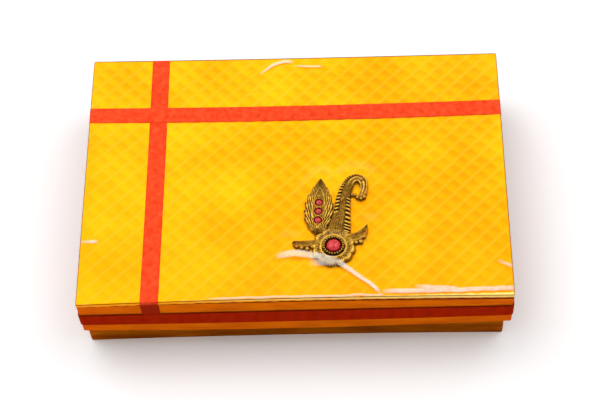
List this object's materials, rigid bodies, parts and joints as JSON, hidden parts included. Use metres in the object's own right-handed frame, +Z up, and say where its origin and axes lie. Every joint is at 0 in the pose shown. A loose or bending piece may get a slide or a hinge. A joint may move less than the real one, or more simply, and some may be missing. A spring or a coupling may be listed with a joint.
{
  "type": "gift box",
  "caption": "Flat rectangular gift box in gold foil paper, with a lift-off lid, crossed red ribbons, a jewelled peacock ornament and clear film over the lid.",
  "frame": {"origin": "middle of the box's outline, on the surface that it stands on", "axes": "+X along the length of the box to the right, +Y to the back, +Z up"},
  "size_m": [0.3008, 0.2058, 0.0657],
  "materials": {
    "greyboard": "rigid grey paperboard",
    "kraft_paper": "brown gummed paper tape",
    "embossed_gold_foil": "bright gold metallised paper, embossed with a lattice of diamonds",
    "smooth_gold_foil": "smooth deep gold metallised paper, satin gloss",
    "white_paper": "uncoated white lining paper",
    "red_ribbon": "satin ribbon, half an inch wide",
    "foam_tape": "white foam adhesive pad",
    "antique_gold": "antique gold casting, bright on the ridges and dark in the hollows",
    "red_stone": "polished red resin stone",
    "clear_film": "thin clear glossy film"
  },
  "bodies": {
    "base": {"base_board": "greyboard", "base_foil_wrap": "smooth_gold_foil", "base_bottom_sheet": "white_paper", "base_liner": "white_paper", "base_corner_stay_1": "kraft_paper", "base_corner_stay_2": "kraft_paper", "base_corner_stay_3": "kraft_paper", "base_corner_stay_4": "kraft_paper"},
    "lid": {"lid_board": "greyboard", "lid_side_wrap": "smooth_gold_foil", "lid_top_sheet": "embossed_gold_foil", "lid_liner": "white_paper", "lid_corner_stay_1": "kraft_paper", "lid_corner_stay_2": "kraft_paper", "lid_corner_stay_3": "kraft_paper", "lid_corner_stay_4": "kraft_paper", "ribbon_crosswise": "red_ribbon", "ribbon_lengthwise": "red_ribbon", "ribbon_rim": "red_ribbon", "ornament_pads": "foam_tape", "ornament_feather": "antique_gold", "ornament_bird": "antique_gold", "ornament_rosette": "antique_gold", "ornament_bead_ring": "antique_gold", "ornament_cabochon": "red_stone", "feather_stone_1": "red_stone", "feather_stone_2": "red_stone", "feather_stone_3": "red_stone", "lid_film": "clear_film"}
  },
  "joints": [
    {"name": "lid_lift", "type": "slide", "parent": "base", "child": "lid", "axis": [0, 0, 1], "range_m": [0, 0.1]}
  ]
}
